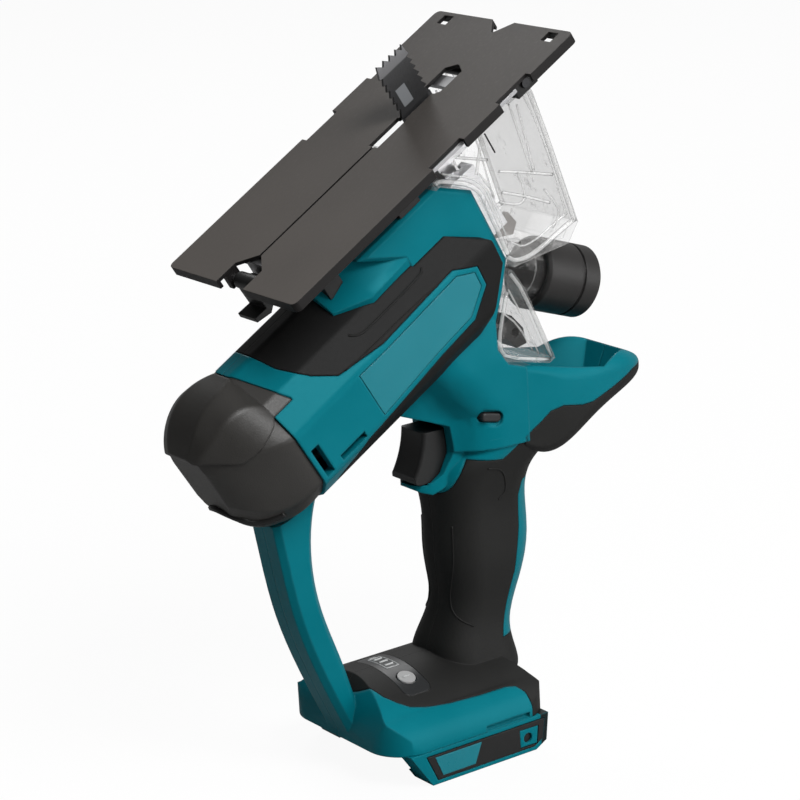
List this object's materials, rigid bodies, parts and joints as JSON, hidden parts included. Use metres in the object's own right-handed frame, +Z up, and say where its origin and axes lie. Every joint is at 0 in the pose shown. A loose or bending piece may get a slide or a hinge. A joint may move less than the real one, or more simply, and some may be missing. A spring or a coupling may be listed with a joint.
{
  "type": "cordless drywall saw",
  "caption": "Hand-held reciprocating plunge saw for wallboard with a tilted hinged base plate, clear dust case, D-shaped guarded grip and a foot with rails for a slide-on battery.",
  "frame": {"origin": "middle of the battery rails, on the plane that the rails stand on", "axes": "+X from the hand guard to the tail, +Y to the operator's right, +Z up along the grip"},
  "size_m": [0.2189, 0.086, 0.2881],
  "materials": {
    "shell": "fine satin texture",
    "soft_skin": "matte",
    "end_cap": "satin",
    "label": "semi gloss",
    "black_plastic": "satin",
    "grey_plastic": "satin",
    "gauge": "semi gloss",
    "board": "satin",
    "contacts": "plated",
    "steel": "brushed",
    "black_steel": "black oxide",
    "carbon": "matte",
    "cast_alloy": "cast",
    "slider_metal": "ground",
    "blade_steel": "black coat with a bright ground tip",
    "grey_metal": "satin",
    "clear_plastic": "clear polycarbonate",
    "cap_rubber": "satin",
    "plate_paint": "satin brown-grey coat"
  },
  "bodies": {
    "housing": {"left_housing": "shell", "right_housing": "shell", "left_rail": "shell", "right_rail": "shell", "left_barrel_overmould": "soft_skin", "right_barrel_overmould": "soft_skin", "left_grip_overmould": "soft_skin", "right_grip_overmould": "soft_skin", "motor_end_cap": "end_cap", "left_label_plate": "label", "right_label_plate": "label", "left_foot_inlay": "black_plastic", "right_foot_inlay": "black_plastic", "left_badge": "label", "right_badge": "label", "gauge_panel": "gauge", "gauge_board": "board", "terminal_block": "black_plastic", "terminal_blades": "contacts", "foot_screws": "black_steel", "housing_screws": "steel", "switch_body": "black_plastic", "motor_can": "steel", "carbon_brushes": "carbon", "motor_bearings": "steel", "motor_plate": "cast_alloy", "gear_case": "cast_alloy", "crank_bearings": "steel", "guide_frame": "cast_alloy", "dust_case": "clear_plastic", "lower_cover": "clear_plastic", "key_clip": "black_plastic", "base_frame": "steel", "frame_brackets": "black_plastic", "hinge_pin": "black_steel"},
    "base": {"base_plate": "plate_paint", "hinge_lugs": "black_plastic", "latch_pin": "steel"},
    "latch": {"latch_lever": "black_plastic"},
    "rotor": {"armature": "steel", "fan": "black_plastic", "pinion": "steel"},
    "crank": {"crank_gear": "steel", "crank_shaft": "steel"},
    "saw": {"slider": "slider_metal", "clamp_plate": "steel", "clamp_bolt": "steel", "blade": "blade_steel"},
    "clamp": {"clamp_lever": "grey_metal"},
    "trigger": {"trigger": "black_plastic"},
    "lock": {"lock_button": "grey_plastic"},
    "charge_button": {"gauge_button": "grey_plastic"},
    "dust_cap": {"dust_cap": "cap_rubber"}
  },
  "joints": [
    {"name": "base_swing", "type": "hinge", "parent": "housing", "child": "base", "pos_m": [0.04378, 0, 0.2697], "axis": [0, 1, 0], "range_deg": [0, 85]},
    {"name": "latch_turn", "type": "hinge", "parent": "base", "child": "latch", "pos_m": [-0.06589, 0, 0.20661], "axis": [0, 1, 0], "range_deg": [0, 35], "stiffness_Nm_per_rad": 0.05, "springref_deg": -17.19},
    {"name": "crank_spin", "type": "hinge", "parent": "housing", "child": "crank", "pos_m": [-0.05285, 0, 0.17034], "axis": [0.8572, 0, 0.515], "continuous": true},
    {"name": "motor_spin", "type": "hinge", "parent": "housing", "child": "rotor", "pos_m": [-0.04564, 0, 0.15834], "axis": [0.8572, 0, 0.515], "continuous": true},
    {"name": "blade_stroke", "type": "slide", "parent": "housing", "child": "saw", "axis": [-0.515, 0, 0.8572], "range_m": [-0.003, 0.003]},
    {"name": "clamp_turn", "type": "hinge", "parent": "saw", "child": "clamp", "pos_m": [0.04599, 0, 0.20873], "axis": [0, -1, 0], "range_deg": [0, 75], "stiffness_Nm_per_rad": 0.03, "springref_deg": -11.46},
    {"name": "trigger_pull", "type": "slide", "parent": "housing", "child": "trigger", "axis": [1, 0, 0], "range_m": [0, 0.006], "stiffness_N_per_m": 600, "springref_m": -0.004},
    {"name": "lock_push", "type": "slide", "parent": "housing", "child": "lock", "axis": [0, 1, 0], "range_m": [-0.0036, 0]},
    {"name": "charge_press", "type": "slide", "parent": "housing", "child": "charge_button", "axis": [0, 0.3068, -0.9518], "range_m": [0, 0.0005], "stiffness_N_per_m": 800, "springref_m": -0.0005},
    {"name": "dust_cap_pull", "type": "slide", "parent": "housing", "child": "dust_cap", "axis": [0.9455, 0, -0.3256], "range_m": [0, 0.03]}
  ],
  "couplings": [
    {"joint": "motor_spin", "follows": "crank_spin", "ratio": -2.5}
  ]
}
